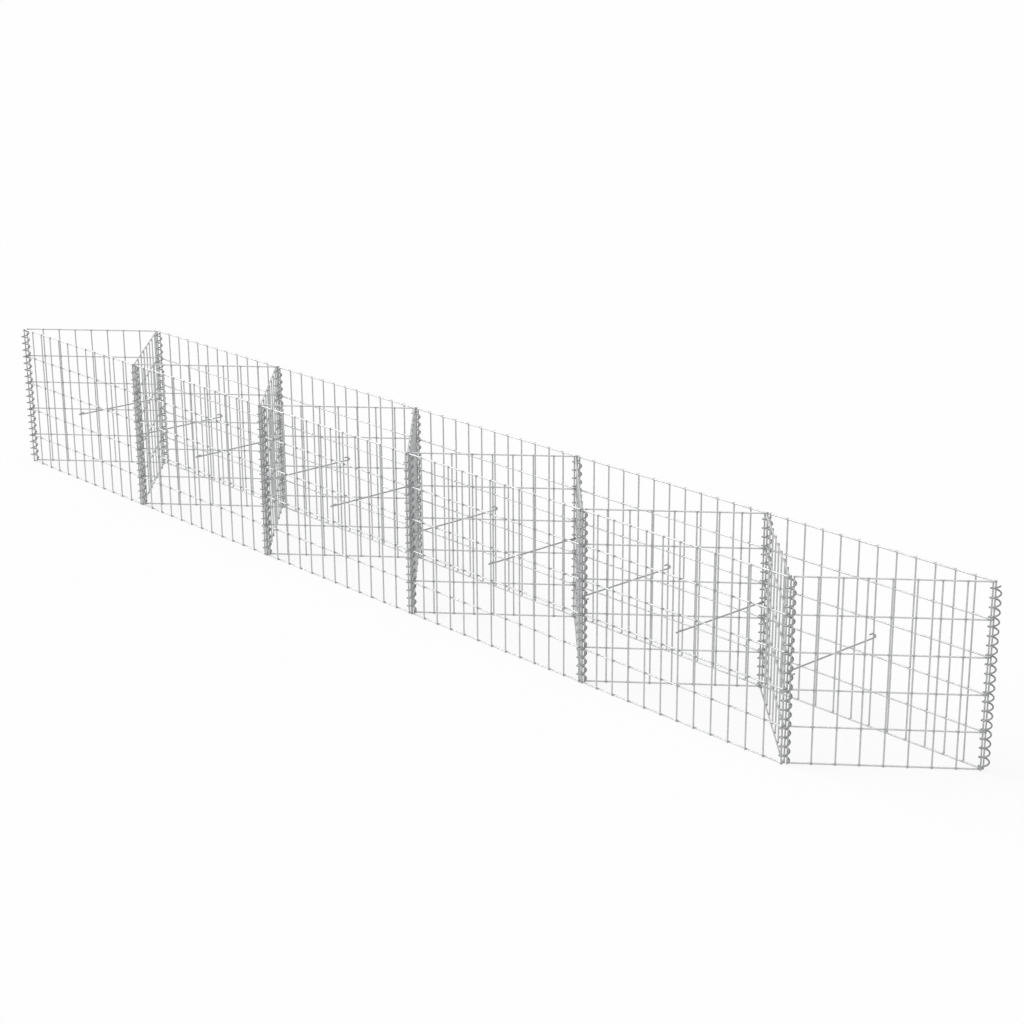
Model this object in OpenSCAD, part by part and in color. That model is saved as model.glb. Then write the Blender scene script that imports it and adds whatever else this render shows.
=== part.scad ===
// Empty welded-wire gabion wall on a zigzag plan.
// Front and rear mesh panels stand half a bay apart, cross panels zigzag between
// them, a wire spiral binds the panel edges at every node, and hooked braces hold
// each cell at its depth.
// Millimetres. X runs along the wall, Y from front to rear, Z is up from the floor.

/* [Wall] */
// Bays along the wall, each one face panel long
bays = 5; // [1:1:6]

/* [Mesh] */
// Spacing of the upright wires, centre to centre
column_pitch = 60; // [55:0.5:70]
// Spacing of the level wires, centre to centre
row_pitch = 100; // [80:1:120]
// Meshes along a front or rear panel, an even number so that one upright is in its middle
face_columns = 12; // [10:2:14]
// Meshes along a cross panel
cross_columns = 8; // [8:1:9]
// Meshes up a panel
rows = 5; // [3:2:7]

/* [Wire] */
// Diameter of the mesh wire, measured across its flats
wire_d = 4.5; // [3:0.1:5]
// Depth that crossing wires are pressed into each other by the weld
weld_sink = 0.5; // [0.2:0.1:0.8]
// Length of a level wire past the centre of the last upright
overhang = 1.5; // [1:0.1:1.8]

/* [Spirals] */
// Diameter of the spiral wire
spiral_d = 4.5; // [3:0.1:5]
// Turns of a spiral in the height of one mesh
turns_per_row = 4; // [3:1:4]

/* [Braces] */
// Diameter of the brace wire
brace_d = 4.5; // [3:0.1:5]
// Straight end of the hook
hook_tail = 10; // [6:1:14]

/* [Fit] */
// Gap between wires that lie against each other
wire_gap = 0.4; // [0.2:0.1:0.6]
// Gap between a spiral and the upright wires inside it
spiral_gap = 0.3; // [0.2:0.1:0.5]

/* [Hidden] */
// Centre of a level wire, measured from the centre of the uprights it is welded to
weld_offset = wire_d - weld_sink;
// Half the spacing of the two end uprights side by side at a node, with a brace between
node_half = wire_d / 2 + brace_d / 2 + wire_gap;
face_width = face_columns * column_pitch;
bay = face_width + 2 * node_half;
cross_width = cross_columns * column_pitch;
// Angle between a cross panel and the face panels
cross_cos = (bay / 2 - 2 * node_half) / cross_width;
cross_angle = acos(cross_cos);
cross_sin = sin(cross_angle);
// Distance of the cross panels' end uprights from those of the faces
node_depth = weld_offset + wire_d / 2 + wire_gap
    + (weld_offset + wire_d / 2) * cross_cos + overhang * cross_sin;
depth = cross_width * cross_sin + 2 * node_depth;
mesh_height = rows * row_pitch;
height = mesh_height + wire_d;
mid_height = height / 2;
// Spiral: half turns are tilted arcs that meet end to end under a thin skin of zinc
zinc_skin = 0.02;
zinc_width = 0.4;
spiral_pitch = row_pitch / turns_per_row;
spiral_r = norm([node_half, node_depth / 2]) + wire_d / 2 + spiral_gap + spiral_d / 2;
arc_r = norm([spiral_r, spiral_pitch / 4]);
arc_tilt = atan2(spiral_pitch / 4, spiral_r);
half_turns = 2 * turns_per_row * rows - 1;
first_half_turn = wire_d / 2 + spiral_pitch / 2;
// Brace: a straight rod that passes one held wire on each side, with hooks that lean
// three parts up for every four across
hook_lean = atan2(3, 4);
hook_r = node_half / cos(hook_lean);
brace_reach = norm([node_half, depth - node_depth]);
brace_length = sqrt(pow(brace_reach, 2) - 4 * pow(node_half, 2));
brace_turn = atan2(2 * node_half, brace_length) - atan2(node_half, depth - node_depth);
wire_colour = [0.72, 0.73, 0.74];
spiral_colour = [0.55, 0.56, 0.57];
brace_colour = [0.64, 0.65, 0.66];

// Plan positions of the nodes, counted from 1, about the middle of the wall
function front_node(i) = [(i - 1 - bays / 2 - 0.25) * bay, -depth / 2];
function rear_node(i) = [(i - 1 - bays / 2 + 0.25) * bay, depth / 2];

// Wire of eight sides along Z, with its flats square to X and Y
module bar(length) {
    rotate([0, 0, 22.5])
        cylinder(h = length, r = wire_d / 2 / cos(22.5), $fn = 8);
}

// Welded mesh along +X with uprights at Y = 0 and level wires on the side given
module mesh(columns, side) {
    color(wire_colour)
        union() {
            for (k = [0:columns])
                translate([k * column_pitch, 0, 0])
                    bar(height);
            for (k = [0:rows])
                translate([-overhang, side * weld_offset, wire_d / 2 + k * row_pitch])
                    rotate([0, 90, 0])
                        bar(columns * column_pitch + 2 * overhang);
        }
}

module front_panel(i) {
    translate(front_node(i) + [node_half, 0])
        mesh(face_columns, 1);
}

module rear_panel(i) {
    translate(rear_node(i) + [node_half, 0])
        mesh(face_columns, -1);
}

// Odd panels run from a front node to a rear node, even ones back to the front
module cross_panel(i) {
    n = ceil(i / 2);
    if (i % 2 == 1)
        translate(front_node(n) + [node_half, node_depth])
            rotate([0, 0, cross_angle])
                mesh(cross_columns, 1);
    else
        translate(rear_node(n) + [node_half, -node_depth])
            rotate([0, 0, -cross_angle])
                mesh(cross_columns, -1);
}

// Half a turn of spiral wire, rising to the left over the far side
module half_turn() {
    rotate([0, arc_tilt, 0])
        rotate_extrude(angle = 180, $fn = 48)
            translate([arc_r, 0])
                circle(d = spiral_d, $fn = 24);
}

// Zinc over the joint at the upper end of a half turn
module arc_joint() {
    translate([-spiral_r, 0, spiral_pitch / 4])
        rotate([90, 0, 0])
            cylinder(d = spiral_d + 2 * zinc_skin, h = zinc_width, center = true, $fn = 24);
}

module spiral() {
    color(spiral_colour)
        for (k = [0:half_turns - 1])
            translate([0, 0, first_half_turn + k * spiral_pitch / 2])
                rotate([0, 0, 180 * (k % 2)]) {
                    half_turn();
                    if (k < half_turns - 1)
                        arc_joint();
                }
}

module front_spiral(i) {
    translate(front_node(i) + [0, node_depth / 2])
        spiral();
}

module rear_spiral(i) {
    translate(rear_node(i) - [0, node_depth / 2])
        rotate([0, 0, 180])
            spiral();
}

// Hook at the start of a rod that runs along +Y: half a turn towards +X and a tail
module hook(lean) {
    rotate([0, lean, 0]) {
        translate([hook_r, 0, 0])
            rotate([0, 0, 180])
                rotate_extrude(angle = 180, $fn = 48)
                    translate([hook_r, 0])
                        circle(d = brace_d, $fn = 24);
        translate([2 * hook_r, 0, 0])
            rotate([-90, 0, 0])
                cylinder(d = brace_d, h = hook_tail, $fn = 24);
    }
}

// Brace from the front node at the origin to the middle upright of the rear panel
module front_brace() {
    color(brace_colour)
        translate([node_half * (1 - cos(brace_turn)), node_depth + node_half * sin(brace_turn), mid_height])
            rotate([0, 0, -brace_turn])
                union() {
                    rotate([-90, 0, 0])
                        cylinder(d = brace_d, h = brace_length, $fn = 24);
                    hook(hook_lean);
                    translate([0, brace_length, 0])
                        rotate([0, 0, 180])
                            hook(-hook_lean);
                }
}

// Odd braces start at a rear node, even ones at the next front node
module brace(i) {
    n = ceil(i / 2);
    if (i % 2 == 1)
        translate(rear_node(n))
            rotate([0, 0, 180])
                front_brace();
    else
        translate(front_node(n + 1))
            front_brace();
}

for (i = [1:bays])
    front_panel(i);
for (i = [1:bays])
    rear_panel(i);
for (i = [1:2 * bays + 1])
    cross_panel(i);
for (i = [1:bays + 1])
    front_spiral(i);
for (i = [1:bays + 1])
    rear_spiral(i);
for (i = [1:2 * bays])
    brace(i);
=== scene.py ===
"""Galvanised wire, welds, spirals and hooked braces of an empty gabion wall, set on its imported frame."""

import math

import bpy
import numpy as np
from mathutils import Matrix, Vector


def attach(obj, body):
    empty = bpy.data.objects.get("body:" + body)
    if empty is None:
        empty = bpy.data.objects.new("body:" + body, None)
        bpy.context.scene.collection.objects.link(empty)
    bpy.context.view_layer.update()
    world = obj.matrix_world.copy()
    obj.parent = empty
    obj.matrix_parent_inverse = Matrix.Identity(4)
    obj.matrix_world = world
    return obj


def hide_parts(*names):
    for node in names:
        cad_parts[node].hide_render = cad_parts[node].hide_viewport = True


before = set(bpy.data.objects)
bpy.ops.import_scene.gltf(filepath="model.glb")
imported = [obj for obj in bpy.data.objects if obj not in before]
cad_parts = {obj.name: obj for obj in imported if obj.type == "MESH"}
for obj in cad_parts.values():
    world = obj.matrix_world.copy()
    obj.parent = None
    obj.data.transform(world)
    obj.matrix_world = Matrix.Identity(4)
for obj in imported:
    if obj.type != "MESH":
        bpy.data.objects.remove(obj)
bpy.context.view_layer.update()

bl_info = {
    "name": "Gabion Wall",
    "version": (1, 0, 0),
    "blender": (4, 5, 0),
    "location": "View3D > Sidebar > Gabion",
    "description": "Builds the wires of an empty zigzag gabion wall and the stage it stands on",
    "category": "Add Mesh",
}

BODY = "root"

# Sides of a ring of wire, and rings in half a turn of a spiral or of a hook
WIRE_SIDES = 12
BRACE_SIDES = 16
SPIRAL_RINGS = 20
HOOK_RINGS = 18

# Shares of a wire's radius: length of the chamfer at a cut end, and what is left of the radius there
CHAMFER = 0.18
CUT_END = 0.8

# Shares of a wire's radius by which a weld spreads it in the panel's plane and flattens it across
WELD_SPREAD = 0.05
WELD_FLATTEN = 0.04

# Distance between the zinc patterns of neighbouring wires
PATTERN_STEP = 0.03

# Zinc: cells, pale blotches and grains to the metre, and streaks across and along the wire
SPANGLE_SCALE = 330.0
BLOOM_SCALE = 42.0
GRAIN_SCALE = 2600.0
STREAK_SCALE = (1500.0, 1500.0, 28.0)

# Distances from the middle of a weld between which its dull grey fades out; the grey is partly dulled weld
# metal and partly painted contact shade where the wires cross
WELD_DULL_SHADE_FULL = 0.0015
WELD_DULL_SHADE_NONE = 0.0075

UP = np.array([0.0, 0.0, 1.0])


class GabionSizes(bpy.types.PropertyGroup):
    """Sizes of the wall, the same as those of its solids."""

    bays: bpy.props.IntProperty(
        name="Bays", description="Face panels along the wall", default=5, min=1
    )
    rows: bpy.props.IntProperty(
        name="Rows", description="Meshes up a panel", default=5, min=1
    )
    face_columns: bpy.props.IntProperty(
        name="Face columns", description="Meshes along a front or rear panel", default=12, min=2
    )
    cross_columns: bpy.props.IntProperty(
        name="Cross columns", description="Meshes along a cross panel", default=8, min=2
    )
    column_pitch: bpy.props.FloatProperty(
        name="Column pitch",
        description="Spacing of the upright wires",
        default=0.06,
        unit="LENGTH",
        precision=4,
    )
    row_pitch: bpy.props.FloatProperty(
        name="Row pitch",
        description="Spacing of the level wires",
        default=0.1,
        unit="LENGTH",
        precision=4,
    )
    wire_d: bpy.props.FloatProperty(
        name="Mesh wire",
        description="Diameter of the mesh wire",
        default=0.0045,
        unit="LENGTH",
        precision=4,
    )
    weld_sink: bpy.props.FloatProperty(
        name="Weld sink",
        description="Depth that crossing wires are pressed into each other",
        default=0.0005,
        unit="LENGTH",
        precision=4,
    )
    overhang: bpy.props.FloatProperty(
        name="Overhang",
        description="Length of a level wire past the centre of the last upright",
        default=0.0015,
        unit="LENGTH",
        precision=4,
    )
    spiral_d: bpy.props.FloatProperty(
        name="Spiral wire",
        description="Diameter of the spiral wire",
        default=0.0045,
        unit="LENGTH",
        precision=4,
    )
    turns_per_row: bpy.props.IntProperty(
        name="Turns per row", description="Turns of a spiral in the height of one mesh", default=4, min=1
    )
    spiral_slack: bpy.props.FloatProperty(
        name="Spiral slack",
        description="Room between a spiral and the four end wires inside it",
        default=0.0007,
        unit="LENGTH",
        precision=4,
    )
    brace_d: bpy.props.FloatProperty(
        name="Brace wire",
        description="Diameter of the brace wire",
        default=0.0045,
        unit="LENGTH",
        precision=4,
    )
    hook_tail: bpy.props.FloatProperty(
        name="Hook tail",
        description="Straight end of a brace's hook",
        default=0.01,
        unit="LENGTH",
        precision=4,
    )
    wire_gap: bpy.props.FloatProperty(
        name="Wire gap",
        description="Gap between wires that lie against each other",
        default=0.0004,
        unit="LENGTH",
        precision=4,
    )
    weld_reach: bpy.props.FloatProperty(
        name="Weld reach",
        description="Half the width of the metal that a weld leaves round a crossing",
        default=0.003,
        unit="LENGTH",
        precision=4,
    )


class GabionFinish(bpy.types.PropertyGroup):
    """Colours and gloss of the zinc."""

    mesh_zinc: bpy.props.FloatVectorProperty(
        name="Mesh zinc",
        description="Colour of the zinc on the mesh wire",
        default=(0.56, 0.565, 0.57),
        min=0.0,
        max=1.0,
        subtype="COLOR",
    )
    spiral_zinc: bpy.props.FloatVectorProperty(
        name="Spiral zinc",
        description="Colour of the zinc on the spirals",
        default=(0.31, 0.314, 0.318),
        min=0.0,
        max=1.0,
        subtype="COLOR",
    )
    brace_zinc: bpy.props.FloatVectorProperty(
        name="Brace zinc",
        description="Colour of the zinc on the braces",
        default=(0.40, 0.405, 0.41),
        min=0.0,
        max=1.0,
        subtype="COLOR",
    )
    # Weld grey: partly the colour of dulled weld metal, partly painted contact shade where the wires cross
    weld_grey_and_shade: bpy.props.FloatVectorProperty(
        name="Weld grey",
        description="Colour of the dulled metal at a weld",
        default=(0.25, 0.25, 0.255),
        min=0.0,
        max=1.0,
        subtype="COLOR",
    )
    roughness: bpy.props.FloatProperty(
        name="Roughness",
        description="Mean roughness of the zinc",
        default=0.42,
        min=0.0,
        max=1.0,
        subtype="FACTOR",
    )
    metal: bpy.props.FloatProperty(
        name="Metal",
        description="Share of bare metal in the zinc's reflection",
        default=0.7,
        min=0.0,
        max=1.0,
        subtype="FACTOR",
    )


class GabionStage(bpy.types.PropertyGroup):
    """Floor, light and camera."""

    floor_colour: bpy.props.FloatVectorProperty(
        name="Floor",
        description="Colour of the floor",
        default=(0.9, 0.9, 0.9),
        min=0.0,
        max=1.0,
        subtype="COLOR",
    )
    floor_half: bpy.props.FloatProperty(
        name="Floor reach",
        description="Half the width of the floor",
        default=40.0,
        min=1.0,
        unit="LENGTH",
    )
    floor_shadow: bpy.props.FloatProperty(
        name="Shadow",
        description="Strength of the shadow on the floor",
        default=0.16,
        min=0.0,
        max=1.0,
        subtype="FACTOR",
    )
    key_strength: bpy.props.FloatProperty(
        name="Key light", description="Strength of the soft light from the left", default=1.7, min=0.0
    )
    top_strength: bpy.props.FloatProperty(
        name="Top light", description="Strength of the soft light from above", default=0.6, min=0.0
    )
    fill_strength: bpy.props.FloatProperty(
        name="Fill light", description="Strength of the light from all round", default=0.52, min=0.0
    )
    key_from: bpy.props.FloatVectorProperty(
        name="Key from",
        description="Direction of the light from the left",
        default=(-0.717, -0.35, 0.6),
        subtype="XYZ",
    )
    top_from: bpy.props.FloatVectorProperty(
        name="Top from",
        description="Direction of the light from above",
        default=(0.1, -0.15, 1.0),
        subtype="XYZ",
    )
    light_angle: bpy.props.FloatProperty(
        name="Softness",
        description="Angle that each of the two lights covers",
        default=math.radians(40),
        subtype="ANGLE",
    )
    lens: bpy.props.FloatProperty(
        name="Lens", description="Focal length in millimetres", default=73.85, min=1.0
    )
    yaw: bpy.props.FloatProperty(
        name="Yaw",
        description="Turn of the camera to the left from looking along the depth of the wall",
        default=0.82938,
        subtype="ANGLE",
    )
    pitch: bpy.props.FloatProperty(
        name="Pitch", description="Tilt of the camera down", default=0.31826, subtype="ANGLE"
    )
    roll: bpy.props.FloatProperty(
        name="Roll", description="Turn of the camera about its view", default=-0.00531, subtype="ANGLE"
    )
    camera_place: bpy.props.FloatVectorProperty(
        name="Camera place",
        description="Place of the camera",
        default=(4.74574, -3.93527, 2.26639),
        subtype="XYZ",
        unit="LENGTH",
    )


class Layout:
    """Distances that follow from the sizes, worked out as the solids' own are."""

    def __init__(self, sizes):
        self.weld_offset = sizes.wire_d - sizes.weld_sink
        self.node_half = sizes.wire_d / 2 + sizes.brace_d / 2 + sizes.wire_gap
        self.face_width = sizes.face_columns * sizes.column_pitch
        self.bay = self.face_width + 2 * self.node_half
        self.cross_width = sizes.cross_columns * sizes.column_pitch
        self.cross_cos = (self.bay / 2 - 2 * self.node_half) / self.cross_width
        self.cross_angle = math.acos(self.cross_cos)
        self.cross_sin = math.sin(self.cross_angle)
        reach = self.weld_offset + sizes.wire_d / 2
        self.node_depth = reach + sizes.wire_gap + reach * self.cross_cos + sizes.overhang * self.cross_sin
        self.depth = self.cross_width * self.cross_sin + 2 * self.node_depth
        self.height = sizes.rows * sizes.row_pitch + sizes.wire_d
        self.bays = sizes.bays

    def front_node(self, i):
        """Plan position of front node i, counted from 1."""
        return np.array([(i - 1.25 - self.bays / 2) * self.bay, -self.depth / 2, 0.0])

    def rear_node(self, i):
        """Plan position of rear node i, counted from 1."""
        return np.array([(i - 0.75 - self.bays / 2) * self.bay, self.depth / 2, 0.0])


class Skin:
    """Vertices, faces and wire attributes of one piece, gathered part by part."""

    def __init__(self):
        self.points, self.faces, self.lay, self.weld = [], [], [], []
        self.count = 0

    def add(self, points, faces, lay, weld):
        """Adds a closed surface.

        lay is the place round and along the wire, and weld is the distance along it in weld spacings and
        the spacing itself.
        """
        self.points.append(points)
        self.faces += [f for block in faces for f in (block + self.count).tolist()]
        self.lay.append(lay)
        self.weld.append(weld)
        self.count += len(points)

    def level_off(self, low, high):
        """Flattens what stands out below the low level or above the high one."""
        for points in self.points:
            points[:, 2] = np.clip(points[:, 2], low, high)

    def mesh(self, name):
        """Makes the mesh object at the origin, smooth, with the attributes that the zinc reads."""
        data = bpy.data.meshes.new(name)
        data.from_pydata(np.vstack(self.points), [], self.faces)
        lay = data.attributes.new("lay", "FLOAT_VECTOR", "POINT")
        lay.data.foreach_set("vector", np.vstack(self.lay).astype(np.float32).ravel())
        weld = np.vstack(self.weld).astype(np.float32)
        for column, key in enumerate(("weld_step", "weld_pitch")):
            layer = data.attributes.new(key, "FLOAT", "POINT")
            layer.data.foreach_set("value", np.ascontiguousarray(weld[:, column]))
        data.polygons.foreach_set("use_smooth", np.ones(len(data.polygons), bool))
        data.update()
        piece = bpy.data.objects.new(name, data)
        bpy.context.scene.collection.objects.link(piece)
        return piece


def unit(vectors):
    """Vectors divided by their lengths."""
    return vectors / np.linalg.norm(vectors, axis=-1, keepdims=True)


def sweep(skin, paths, tangents, reference, radii, along, pitch, sides):
    """Carries a ring along paths, all of one ring count, and closes both ends.

    A vertex is the path point + radius a * cos t * across + radius b * sin t * over, where across is
    the reference direction crossed with the tangent and over is the tangent crossed with across.
    """
    wires, rings = paths.shape[:2]
    across = unit(np.cross(np.broadcast_to(reference, tangents.shape), tangents))
    over = np.cross(tangents, across)
    turn = np.arange(sides) * 2 * np.pi / sides
    ring = np.stack([np.cos(turn), np.sin(turn)], -1)
    offsets = radii[:, None, :] * ring
    points = paths[:, :, None] + offsets[..., :1] * across[:, :, None] + offsets[..., 1:] * over[:, :, None]
    lay = np.empty((wires, rings, sides, 3))
    lay[..., :2] = offsets + PATTERN_STEP * np.arange(wires)[:, None, None, None]
    lay[..., 2] = along[:, None]
    weld = np.empty((wires, rings, sides, 2))
    weld[..., 0] = along[:, None] / pitch
    weld[..., 1] = pitch
    index = np.arange(wires * rings * sides).reshape(wires, rings, sides)
    after = np.roll(index, -1, axis=2)
    quads = np.stack([index[:, :-1], after[:, :-1], after[:, 1:], index[:, 1:]], -1).reshape(-1, 4)
    caps = np.vstack([index[:, 0, ::-1], index[:, -1]])
    skin.add(points.reshape(-1, 3), (quads, caps), lay.reshape(-1, 3), weld.reshape(-1, 2))


def wire_rings(length, welds, radius):
    """Places of the rings along a straight wire, and their two radii.

    The rings are at the ends, at a small chamfer and close to each weld. At a weld the wire is wider
    in the panel's plane and flatter across it, by a bell curve of the distance to the nearest weld.
    """
    chamfer = CHAMFER * radius
    near = np.array([-1.6, -0.8, 0.0, 0.8, 1.6]) * radius
    places = np.clip((welds[:, None] + near).ravel(), chamfer, length - chamfer)
    places = np.unique(np.round(np.r_[0.0, chamfer, places, length - chamfer, length], 6))
    bell = np.exp(-np.square(np.abs(places[:, None] - welds).min(1) / (0.9 * radius)))
    radii = radius * np.stack([1 + WELD_SPREAD * bell, 1 - WELD_FLATTEN * bell], -1)
    radii[[0, -1]] *= CUT_END
    return places, radii


def weld_metal(skin, centres, along, normal, reach, thick):
    """Adds the metal squeezed out at welds: a flat ellipsoid at each crossing.

    A vertex is the centre + reach * sin v * (cos u * along + sin u * up) + thick * cos v * normal.
    """
    around, levels = 8, 5
    u = (np.arange(around) + 0.5) * 2 * np.pi / around
    v = np.linspace(0.0, np.pi, levels + 2)
    ring, rise = np.sin(v[1:-1]), np.cos(v[1:-1])
    flat = np.cos(u)[:, None] * along + np.sin(u)[:, None] * UP
    body = reach * ring[:, None, None] * flat + thick * rise[:, None, None] * normal
    shape = np.vstack([thick * normal, body.reshape(-1, 3), -thick * normal])
    points = centres[:, None] + shape
    grid = 1 + np.arange(levels * around).reshape(levels, around)
    after = np.roll(grid, -1, axis=1)
    quads = np.stack([grid[:-1], grid[1:], after[1:], after[:-1]], -1).reshape(-1, 4)
    top = np.stack([np.zeros(around, int), grid[0], after[0]], -1)
    bottom = np.stack([np.full(around, levels * around + 1), after[-1], grid[-1]], -1)
    base = (np.arange(len(centres)) * len(shape))[:, None, None]
    if np.dot(np.cross(along, UP), normal) < 0:
        quads, top, bottom = quads[:, ::-1], top[:, ::-1], bottom[:, ::-1]
    faces = [(base + block).reshape(-1, block.shape[1]) for block in (quads, top, bottom)]
    flat_points = points.reshape(-1, 3)
    weld = np.tile([0.0, reach], (len(flat_points), 1))
    skin.add(flat_points, faces, flat_points.copy(), weld)


def welded_mesh(name, sizes, layout, corner, angle, columns, side):
    """One panel: upright wires from the floor to the top, level wires on the given side, welds between."""
    skin = Skin()
    radius = sizes.wire_d / 2
    along = np.array([math.cos(angle), math.sin(angle), 0.0])
    normal = np.array([-math.sin(angle), math.cos(angle), 0.0])
    column_places = np.arange(columns + 1) * sizes.column_pitch
    row_places = radius + np.arange(sizes.rows + 1) * sizes.row_pitch

    places, radii = wire_rings(layout.height, row_places, radius)
    feet = corner + column_places[:, None] * along
    paths = feet[:, None] + places[:, None] * UP
    steps = places - radius
    sweep(skin, paths, np.broadcast_to(UP, paths.shape), normal, radii, steps, sizes.row_pitch, WIRE_SIDES)

    length = columns * sizes.column_pitch + 2 * sizes.overhang
    places, radii = wire_rings(length, column_places + sizes.overhang, radius)
    starts = corner + side * layout.weld_offset * normal - sizes.overhang * along + row_places[:, None] * UP
    paths = starts[:, None] + places[:, None] * along
    steps = places - sizes.overhang
    tangents = np.broadcast_to(along, paths.shape)
    sweep(skin, paths, tangents, UP, radii[:, ::-1], steps, sizes.column_pitch, WIRE_SIDES)

    centres = feet[:, None] + row_places[:, None] * UP + side * layout.weld_offset / 2 * normal
    weld_metal(skin, centres.reshape(-1, 3), along, normal, sizes.weld_reach, sizes.weld_reach / 2)
    skin.level_off(0.0, layout.height)
    return skin.mesh(name)


def spiral_wire(name, sizes, layout, centre, turned):
    """A right-handed helix: x = r cos t, y = r sin t, and z rises by the pitch in each turn of t."""
    skin = Skin()
    pitch = sizes.row_pitch / sizes.turns_per_row
    radius = sizes.spiral_d / 2
    inner = math.hypot(layout.node_half, layout.node_depth / 2) + sizes.wire_d / 2
    helix_r = inner + sizes.spiral_slack + radius
    half_turns = 2 * sizes.turns_per_row * sizes.rows - 1
    t = np.linspace(0.0, half_turns * np.pi, half_turns * SPIRAL_RINGS + 1)
    start = sizes.wire_d / 2 + pitch / 4
    phase = t + (np.pi if turned else 0.0)
    rise = pitch / (2 * np.pi)
    x, y = helix_r * np.cos(phase), helix_r * np.sin(phase)
    path = np.stack([x, y, start + rise * t], -1) + centre
    tangents = unit(np.stack([-y, x, np.full_like(t, rise)], -1))
    along = t * math.hypot(helix_r, rise)
    radii = np.full((len(t), 2), radius)
    radii[[0, -1]] *= CUT_END
    sweep(skin, path[None], tangents[None], UP, radii, along, 1.0, WIRE_SIDES)
    return skin.mesh(name)


def hook_path(hook_r, tail, lean):
    """Tail end, half a circle and the start of the rod, in a plane that leans about the rod's line Y."""
    turn = np.linspace(0.0, -np.pi, HOOK_RINGS + 1)
    bend = np.stack([hook_r + hook_r * np.cos(turn), hook_r * np.sin(turn)], -1)
    ends = np.stack([np.full(3, 2 * hook_r), tail * np.array([1.0, 0.97, 0.5])], -1)
    flat = np.vstack([ends, bend])
    return np.stack([flat[:, 0] * math.cos(lean), flat[:, 1], -flat[:, 0] * math.sin(lean)], -1)


def brace_wire(name, sizes, layout, node, turned):
    """A rod hooked at both ends: a tail, half a turn, the rod, half a turn and the other tail.

    The hooks lean three parts up for every four across, and the rod is swung so that it passes the held
    wires on opposite sides.
    """
    skin = Skin()
    lean = math.atan2(3, 4)
    half = layout.node_half
    hook_r = half / math.cos(lean)
    span = layout.depth - layout.node_depth
    length = math.sqrt(half**2 + span**2 - 4 * half**2)
    swing = math.atan2(2 * half, length) - math.atan2(half, span)
    near = hook_path(hook_r, sizes.hook_tail, lean)
    far = hook_path(hook_r, sizes.hook_tail, -lean) * [-1, -1, 1] + [0, length, 0]
    path = np.vstack([near, far[::-1]])
    turn = -swing
    spin = np.array([[math.cos(turn), -math.sin(turn), 0], [math.sin(turn), math.cos(turn), 0], [0, 0, 1]])
    start = [half * (1 - math.cos(swing)), layout.node_depth + half * math.sin(swing), layout.height / 2]
    path = path @ spin.T + start
    if turned:
        path = path * [-1, -1, 1]
    path = path + node
    steps = np.linalg.norm(np.diff(path, axis=0), axis=1)
    along = np.r_[0.0, np.cumsum(steps)]
    tangents = unit(np.gradient(path, along, axis=0))
    radii = np.full((len(path), 2), sizes.brace_d / 2)
    radii[[0, -1]] *= CUT_END
    sweep(skin, path[None], tangents[None], UP, radii, along, 1.0, BRACE_SIDES)
    return skin.mesh(name)


class Value:
    """A number from a socket: arithmetic on it adds Math nodes to its tree."""

    def __init__(self, finish, socket):
        self.finish, self.socket = finish, socket

    def math(self, operation, *others):
        """A Math node with this value first."""
        inputs = {i: v for i, v in enumerate((self, *others))}
        return self.finish.node("ShaderNodeMath", {"operation": operation}, inputs)

    def __add__(self, other):
        return self.math("ADD", other)

    __radd__ = __add__

    def __mul__(self, other):
        return self.math("MULTIPLY", other)

    __rmul__ = __mul__

    def __sub__(self, other):
        return self.math("SUBTRACT", other)

    def __rsub__(self, other):
        return self.finish.node("ShaderNodeMath", {"operation": "SUBTRACT"}, {0: other, 1: self})

    def clamp(self, low=0.0, high=1.0):
        """This value kept between two numbers."""
        return self.math("MAXIMUM", low).math("MINIMUM", high)


class Finish:
    """A node tree that is written as expressions."""

    def __init__(self, tree):
        self.tree = tree
        tree.nodes.clear()

    def node(self, kind, settings=None, inputs=None, output=0):
        """Adds a node: its settings first, then its sockets' values or links, and gives one output."""
        made = self.tree.nodes.new(kind)
        for key, setting in (settings or {}).items():
            if key == "stops":
                self.set_stops(made.color_ramp, setting)
            else:
                setattr(made, key, setting)
        for key, value in (inputs or {}).items():
            if isinstance(value, Value):
                self.tree.links.new(value.socket, made.inputs[key])
            else:
                made.inputs[key].default_value = value
        return Value(self, made.outputs[output]) if made.outputs else None

    @staticmethod
    def set_stops(ramp, stops):
        """Gives a colour ramp its stops, as pairs of place and grey level."""
        while len(ramp.elements) < len(stops):
            ramp.elements.new(0.5)
        for element, (place, level) in zip(ramp.elements, stops):
            element.position = place
            element.color = (level, level, level, 1.0)

    def mix(self, factor, first, second):
        """The first colour where the factor is 0 and the second where it is 1, by sockets 6 and 7."""
        return self.node(
            "ShaderNodeMix", {"data_type": "RGBA"}, {0: factor, 6: first, 7: second}, output=2
        )


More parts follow.
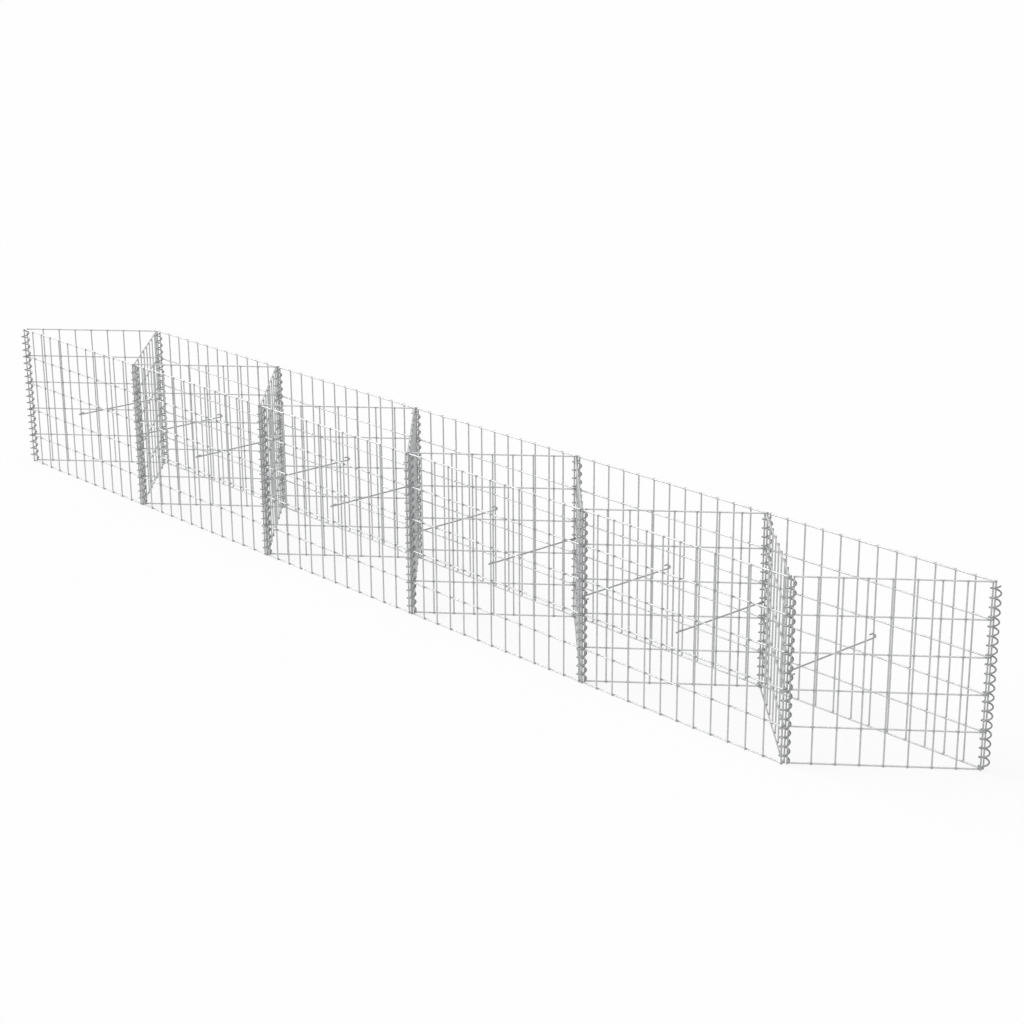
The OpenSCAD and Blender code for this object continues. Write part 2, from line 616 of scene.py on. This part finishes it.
def zinc(name, colour, look, welds):
    """Galvanised wire, made once: spangle cells, streaks along the wire, pale bloom, and dull grey at welds,
    which is partly dulled weld metal and partly painted contact shade.
    """
    if name in bpy.data.materials:
        return bpy.data.materials[name]
    material = bpy.data.materials.new(name)
    material.use_nodes = True
    f = Finish(material.node_tree)
    place = f.node("ShaderNodeTexCoord", output="Object")
    lay = f.node("ShaderNodeAttribute", {"attribute_name": "lay"}, output="Vector")
    cell = f.node(
        "ShaderNodeTexVoronoi",
        {"voronoi_dimensions": "3D", "feature": "F1"},
        {"Vector": place, "Scale": SPANGLE_SCALE, "Randomness": 1.0},
        output="Color",
    )
    spangle = f.node("ShaderNodeSeparateColor", None, {0: cell})
    stretched = f.node("ShaderNodeVectorMath", {"operation": "MULTIPLY"}, {0: lay, 1: STREAK_SCALE})
    streak = f.node("ShaderNodeTexNoise", None, {"Vector": stretched, "Scale": 1.0, "Detail": 3.0}, output=0)
    blotch = {"Vector": place, "Scale": BLOOM_SCALE, "Detail": 4.0, "Roughness": 0.6}
    bloom = f.node("ShaderNodeTexNoise", None, blotch, output=0)
    bloom = f.node("ShaderNodeValToRGB", {"stops": [(0.46, 0.0), (0.68, 1.0)]}, {0: bloom})
    bloom = f.node("ShaderNodeSeparateColor", None, {0: bloom})
    speck = {"Vector": place, "Scale": GRAIN_SCALE, "Detail": 2.0}
    grain = f.node("ShaderNodeTexNoise", None, speck, output=0)

    dark = tuple(0.72 * c for c in colour) + (1.0,)
    light = tuple(min(1.0, 1.2 * c) for c in colour) + (1.0,)
    pale = tuple(min(1.0, 1.12 * c + 0.05) for c in colour) + (1.0,)
    tone = (0.45 * spangle + 0.45 * streak + 0.1 * grain).clamp()
    base = f.mix(tone, dark, light)
    base = f.mix(0.4 * bloom, base, pale)
    rough = look.roughness + 0.16 * (bloom - 0.4) + 0.14 * (streak - 0.5) - 0.1 * (spangle - 0.5)
    height = 0.6 * streak + 0.25 * grain + 0.15 * spangle
    if welds:
        step = f.node("ShaderNodeAttribute", {"attribute_name": "weld_step"}, output="Fac")
        pitch = f.node("ShaderNodeAttribute", {"attribute_name": "weld_pitch"}, output="Fac")
        gap = (step - step.math("ROUND")).math("ABSOLUTE") * pitch
        weld_dulling_and_shade = f.node(
            "ShaderNodeMapRange",
            {"interpolation_type": "SMOOTHSTEP"},
            {
                "Value": gap + 0.004 * (grain - 0.5),
                "From Min": WELD_DULL_SHADE_FULL,
                "From Max": WELD_DULL_SHADE_NONE,
                "To Min": 1.0,
                "To Max": 0.0,
            },
        )
        # Painted contact shade: the grey round each weld is partly dulled weld metal and partly shade where
        # the wires meet; the added roughness is the dulled metal
        base = f.mix(0.35 * weld_dulling_and_shade, base, tuple(look.weld_grey_and_shade) + (1.0,))
        rough = rough + 0.18 * weld_dulling_and_shade
    bump = f.node("ShaderNodeBump", None, {"Strength": 0.25, "Distance": 0.0002, "Height": height})
    shader = f.node(
        "ShaderNodeBsdfPrincipled",
        None,
        {"Base Color": base, "Roughness": rough.clamp(0.15, 0.9), "Metallic": look.metal, "Normal": bump},
    )
    f.node("ShaderNodeOutputMaterial", None, {"Surface": shader})
    return material


def dress(piece, node, material):
    """Lets a piece stand for its node, ride on the wall and take its finish."""
    piece.data.materials.append(material)
    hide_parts(node)
    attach(piece, BODY)


class GABION_OT_face_panels(bpy.types.Operator):
    """Builds the front and rear mesh panels"""

    bl_idname = "gabion.face_panels"
    bl_label = "Face panels"

    def execute(self, context):
        sizes, look = context.scene.gabion_sizes, context.scene.gabion_finish
        layout = Layout(sizes)
        material = zinc("mesh_zinc", look.mesh_zinc, look, True)
        start = np.array([layout.node_half, 0.0, 0.0])
        for row, node_at, side in (("front", layout.front_node, 1), ("rear", layout.rear_node, -1)):
            for i in range(1, sizes.bays + 1):
                node = f"{row}_panel_{i}"
                corner = node_at(i) + start
                piece = welded_mesh(f"{node}_mesh", sizes, layout, corner, 0.0, sizes.face_columns, side)
                dress(piece, node, material)
        return {"FINISHED"}


class GABION_OT_cross_panels(bpy.types.Operator):
    """Builds the mesh panels that zigzag between the faces"""

    bl_idname = "gabion.cross_panels"
    bl_label = "Cross panels"

    def execute(self, context):
        sizes, look = context.scene.gabion_sizes, context.scene.gabion_finish
        layout = Layout(sizes)
        material = zinc("mesh_zinc", look.mesh_zinc, look, True)
        for i in range(1, 2 * sizes.bays + 2):
            n, back = divmod(i - 1, 2)
            side = -1 if back else 1
            node_at = layout.rear_node if back else layout.front_node
            corner = node_at(n + 1) + np.array([layout.node_half, side * layout.node_depth, 0.0])
            node = f"cross_panel_{i}"
            angle = side * layout.cross_angle
            piece = welded_mesh(f"{node}_mesh", sizes, layout, corner, angle, sizes.cross_columns, side)
            dress(piece, node, material)
        return {"FINISHED"}


class GABION_OT_spirals(bpy.types.Operator):
    """Builds the wire spirals that bind the panel edges at each node"""

    bl_idname = "gabion.spirals"
    bl_label = "Spirals"

    def execute(self, context):
        sizes, look = context.scene.gabion_sizes, context.scene.gabion_finish
        layout = Layout(sizes)
        material = zinc("spiral_zinc", look.spiral_zinc, look, False)
        inward = np.array([0.0, layout.node_depth / 2, 0.0])
        for i in range(1, sizes.bays + 2):
            centres = {"front": layout.front_node(i) + inward, "rear": layout.rear_node(i) - inward}
            for row, centre in centres.items():
                node = f"{row}_spiral_{i}"
                piece = spiral_wire(f"{node}_coil", sizes, layout, centre, row == "rear")
                dress(piece, node, material)
        return {"FINISHED"}


class GABION_OT_braces(bpy.types.Operator):
    """Builds the hooked braces across the cells"""

    bl_idname = "gabion.braces"
    bl_label = "Braces"

    def execute(self, context):
        sizes, look = context.scene.gabion_sizes, context.scene.gabion_finish
        layout = Layout(sizes)
        material = zinc("brace_zinc", look.brace_zinc, look, False)
        for i in range(1, 2 * sizes.bays + 1):
            n, even = divmod(i - 1, 2)
            at = layout.front_node(n + 2) if even else layout.rear_node(n + 1)
            node = f"brace_{i}"
            piece = brace_wire(f"{node}_rod", sizes, layout, at, not even)
            dress(piece, node, material)
        return {"FINISHED"}


class GABION_OT_stage(bpy.types.Operator):
    """Sets the floor, the light and the camera"""

    bl_idname = "gabion.stage"
    bl_label = "Stage"

    def execute(self, context):
        stage = context.scene.gabion_stage
        self.light(context, stage)
        self.floor(context, stage)
        self.camera(context, stage)
        context.scene.view_settings.view_transform = "Standard"
        return {"FINISHED"}

    @staticmethod
    def seen_white(f):
        """1 for rays from the camera, off gloss or through glass, and 0 for the rays that light things."""
        rays = f.tree.nodes.new("ShaderNodeLightPath").outputs
        camera, gloss, through = (
            Value(f, rays[key]) for key in ("Is Camera Ray", "Is Glossy Ray", "Is Transmission Ray")
        )
        return (camera + gloss + through).clamp()

    def light(self, context, stage):
        """A white surround that lights softly, and two broad lights, from the upper left and from above."""
        world = bpy.data.worlds.new("studio")
        world.use_nodes = True
        f = Finish(world.node_tree)
        lit = f.node("ShaderNodeBackground", None, {"Color": (1, 1, 1, 1), "Strength": stage.fill_strength})
        seen = f.node("ShaderNodeBackground", None, {"Color": (1, 1, 1, 1), "Strength": 1.0})
        surround = f.node("ShaderNodeMixShader", None, {0: self.seen_white(f), 1: lit, 2: seen})
        f.node("ShaderNodeOutputWorld", None, {"Surface": surround})
        context.scene.world = world
        lamps = (
            ("key", stage.key_strength, stage.key_from),
            ("top", stage.top_strength, stage.top_from),
        )
        for name, strength, towards in lamps:
            data = bpy.data.lights.new(name, "SUN")
            data.energy = strength
            data.angle = stage.light_angle
            lamp = bpy.data.objects.new(name, data)
            lamp.rotation_euler = Vector(towards).to_track_quat("Z", "Y").to_euler()
            context.scene.collection.objects.link(lamp)

    def floor(self, context, stage):
        """A flat square floor that looks white and keeps a soft shadow."""
        corners = stage.floor_half * np.array([[-1, -1, 0], [1, -1, 0], [1, 1, 0], [-1, 1, 0]], float)
        data = bpy.data.meshes.new("floor")
        data.from_pydata(corners, [], [(0, 1, 2, 3)])
        material = bpy.data.materials.new("floor")
        material.use_nodes = True
        f = Finish(material.node_tree)
        lit = f.node(
            "ShaderNodeBsdfPrincipled",
            None,
            {"Base Color": tuple(stage.floor_colour) + (1.0,), "Roughness": 0.9, "Specular IOR Level": 0.0},
        )
        white = f.node("ShaderNodeEmission", None, {"Color": (1, 1, 1, 1), "Strength": 1.0})
        share = self.seen_white(f) * (1.0 - stage.floor_shadow)
        f.node(
            "ShaderNodeOutputMaterial",
            None,
            {"Surface": f.node("ShaderNodeMixShader", None, {0: share, 1: lit, 2: white})},
        )
        data.materials.append(material)
        floor = bpy.data.objects.new("floor", data)
        context.scene.collection.objects.link(floor)

    def camera(self, context, stage):
        """A camera turned by yaw, then pitched down, then rolled, from the right front above the wall."""
        yaw, pitch, roll = stage.yaw, stage.pitch, stage.roll
        ahead = np.array([-math.sin(yaw), math.cos(yaw), 0.0])
        right = np.array([math.cos(yaw), math.sin(yaw), 0.0])
        view = math.cos(pitch) * ahead - math.sin(pitch) * UP
        top = math.sin(pitch) * ahead + math.cos(pitch) * UP
        side = math.cos(roll) * right + math.sin(roll) * top
        top = -math.sin(roll) * right + math.cos(roll) * top
        turned = np.eye(4)
        turned[:3, :3] = np.stack([side, top, -view], -1)
        turned[:3, 3] = stage.camera_place
        data = bpy.data.cameras.new("camera")
        data.sensor_width = 36.0
        data.lens = stage.lens
        data.clip_end = 200.0
        camera = bpy.data.objects.new("camera", data)
        camera.matrix_world = Matrix(turned.tolist())
        context.scene.collection.objects.link(camera)
        context.scene.camera = camera


class GABION_PT_panel(bpy.types.Panel):
    """Sizes, finish and builders of the gabion wall"""

    bl_label = "Gabion Wall"
    bl_idname = "GABION_PT_panel"
    bl_space_type = "VIEW_3D"
    bl_region_type = "UI"
    bl_category = "Gabion"

    def draw(self, context):
        for group in (context.scene.gabion_sizes, context.scene.gabion_finish, context.scene.gabion_stage):
            box = self.layout.box()
            for key in group.__annotations__:
                box.prop(group, key)
        for operator in OPERATORS:
            self.layout.operator(operator.bl_idname)


OPERATORS = (
    GABION_OT_stage,
    GABION_OT_face_panels,
    GABION_OT_cross_panels,
    GABION_OT_spirals,
    GABION_OT_braces,
)
CLASSES = (GabionSizes, GabionFinish, GabionStage, *OPERATORS, GABION_PT_panel)


def register():
    """Registers the classes and hangs the property groups on the scene."""
    for cls in CLASSES:
        bpy.utils.register_class(cls)
    bpy.types.Scene.gabion_sizes = bpy.props.PointerProperty(type=GabionSizes)
    bpy.types.Scene.gabion_finish = bpy.props.PointerProperty(type=GabionFinish)
    bpy.types.Scene.gabion_stage = bpy.props.PointerProperty(type=GabionStage)


def unregister():
    """Takes the property groups and the classes away again."""
    del bpy.types.Scene.gabion_sizes
    del bpy.types.Scene.gabion_finish
    del bpy.types.Scene.gabion_stage
    for cls in reversed(CLASSES):
        bpy.utils.unregister_class(cls)


def main():
    """Builds the stage and the wall."""
    register()
    bpy.ops.gabion.stage()
    bpy.ops.gabion.face_panels()
    bpy.ops.gabion.cross_panels()
    bpy.ops.gabion.spirals()
    bpy.ops.gabion.braces()


if __name__ == "__main__":
    main()
